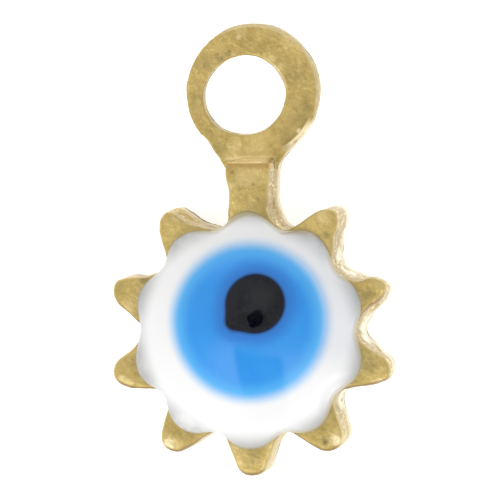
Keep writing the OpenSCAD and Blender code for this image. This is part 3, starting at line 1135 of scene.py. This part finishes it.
def add_camera():
    back = Vector((math.tan(TILT_X), math.tan(TILT_Y), 1)).normalized()
    right = Vector((0, 1, 0)).cross(back).normalized()
    up = back.cross(right)
    front_centre = SUN + Vector((0, 0, BODY_T * MM))
    off_x = (FRAME_PX / 2 - AIM_PX[0]) / PX_PER_MM * MM
    off_y = (AIM_PX[1] - FRAME_PX / 2) / PX_PER_MM * MM
    target = front_centre + right * off_x + up * off_y
    bpy.ops.object.camera_add(location=target + back * CAMERA_FAR)
    camera = bpy.context.object
    camera.rotation_mode = "QUATERNION"
    camera.rotation_quaternion = Matrix((right, up, back)).transposed().to_quaternion()
    camera.data.sensor_width = SENSOR
    camera.data.lens = SENSOR * CAMERA_FAR / (FRAME_PX / PX_PER_MM * MM)
    camera.data.clip_start, camera.data.clip_end = CLIP
    bpy.context.scene.camera = camera
    return camera


def add_softbox(name, toward, size, power):
    """A square light that faces the sun from a direction."""
    place = SUN + Vector(toward).normalized() * LIGHT_FAR
    bpy.ops.object.light_add(type="AREA", location=place)
    light = bpy.context.object
    light.name = name
    light.rotation_mode = "QUATERNION"
    light.rotation_quaternion = (place - SUN).to_track_quat("Z", "Y")
    light.data.shape = "RECTANGLE"
    light.data.size, light.data.size_y = size
    light.data.energy = power
    light.visible_glossy = False


def add_table():
    bpy.ops.mesh.primitive_plane_add(size=TABLE_SIDE, location=(0, 0, -TABLE_GAP))
    table = bpy.context.object
    table.name = "table"
    dress(table, plain_material("bright_table", {
        "Base Color": (0.9, 0.9, 0.9), "Roughness": 0.6,
        "Emission Color": (1, 1, 1), "Emission Strength": 0.6,
    }))


def add_lens(camera):
    """The dark front of the lens, which the glossy dome mirrors as a small dark dot."""
    bpy.ops.mesh.primitive_circle_add(vertices=48, radius=LENS_R, fill_type="NGON",
                                      location=camera.location)
    lens = bpy.context.object
    lens.name = "lens_front"
    lens.rotation_mode = "QUATERNION"
    lens.rotation_quaternion = camera.rotation_quaternion
    lens.location = camera.location + camera.rotation_quaternion @ LENS_OFF
    lens.scale = LENS_STRETCH
    dress(lens, plain_material("dark_lens", {
        "Base Color": (0.004, 0.004, 0.004), "Roughness": 1,
    }))
    lens.visible_camera = False
    lens.visible_shadow = False
    lens.visible_diffuse = False


# The tent: which side is brighter, and its least and greatest brightness
TENT_SIDE, TENT_LEVELS = Vector((-0.95, -0.3, 0.0)), (0.79, 0.96)
# Middle of each bright window in the tent and its half width and half height, as slopes from
# straight up, and how much brighter than the tent it is
WINDOWS = (
    ((-0.36, -0.66), (0.55, 0.50), 1.35),
    ((0.47, -0.64), (0.55, 0.45), 1.35),
)
LOW_WINDOW = ((1.3, -1.5), (1.3, 0.9), 2.2)
LOW_WINDOW_TOP, LOW_WINDOW_LEAN = -0.45, 0.4
WINDOW_REACH = 1.2
CARD_LEFT, CARD_RIGHT, CARD_TOP, CARD_DARK = -0.22, 0.36, -0.41, 0.22
CARD_SOFT, TOP_SOFT = 0.04, 0.06
# Slopes are no steeper than at this height over the horizon
HORIZON = 0.05


def add_world():
    """A white tent with soft windows below the sun and a darker card between two of them."""
    world = bpy.data.worlds.new("tent")
    bpy.context.scene.world = world
    world.use_nodes = True
    tree = Tree(world.node_tree)
    way = tree.add("ShaderNodeTexCoord").outputs["Generated"]
    x, y, z = tree.split(way)
    height = tree.math("MAXIMUM", z, HORIZON)
    right = tree.math("DIVIDE", x, height)
    up = tree.math("DIVIDE", y, height)

    def above(value, edge, soft):
        return tree.fade(value, edge - soft, edge + soft)

    def below(value, edge, soft):
        return tree.fade(value, edge - soft, edge + soft, 1.0, 0.0)

    card = tree.times(
        tree.math("SUBTRACT", above(right, CARD_LEFT, CARD_SOFT),
                  above(right, CARD_RIGHT, CARD_SOFT)),
        below(up, CARD_TOP, TOP_SOFT))
    beside_card = tree.math("SUBTRACT", 1.0, card)
    under_top = below(tree.math("ADD", up, tree.times(right, LOW_WINDOW_LEAN)),
                      LOW_WINDOW_TOP, TOP_SOFT)
    level = tree.fade(tree.toward(way, TENT_SIDE), -1.0, 1.0, *TENT_LEVELS)
    level = tree.math("SUBTRACT", level, tree.times(card, CARD_DARK))
    for window in (*WINDOWS, LOW_WINDOW):
        (middle_x, middle_y), (half_x, half_y), power = window
        off_x = tree.math("DIVIDE", tree.math("SUBTRACT", right, middle_x), half_x)
        off_y = tree.math("DIVIDE", tree.math("SUBTRACT", up, middle_y), half_y)
        off = tree.math("SQRT", tree.math(
            "ADD", tree.times(off_x, off_x), tree.times(off_y, off_y)))
        glow = tree.times(tree.fade(off, 0.0, WINDOW_REACH, power, 0.0), beside_card)
        if window is LOW_WINDOW:
            glow = tree.times(glow, under_top)
        level = tree.math("ADD", level, glow)
    tree.close("Background", {"Color": level})


# Make it

brass = brass_sun()
white, iris, pupil = enamel_pieces()
to_frame(brass, "brass_sun", "raw_brass", "sun_plate")
to_frame(white, "white_dome", "white_enamel", "white_enamel")
to_frame(iris, "iris_field", "blue_enamel", "blue_iris")
to_frame(pupil, "pupil_drop", "black_enamel", "black_pupil")
dress(brass, raw_brass())
dress(white, white_enamel())
dress(iris, blue_enamel())
dress(pupil, black_enamel())

add_lens(add_camera())
add_table()
add_world()
for name, settings in SOFTBOXES.items():
    add_softbox(name, *settings)
scene = bpy.context.scene
scene.view_settings.view_transform = "Standard"
scene.view_settings.look = "None"
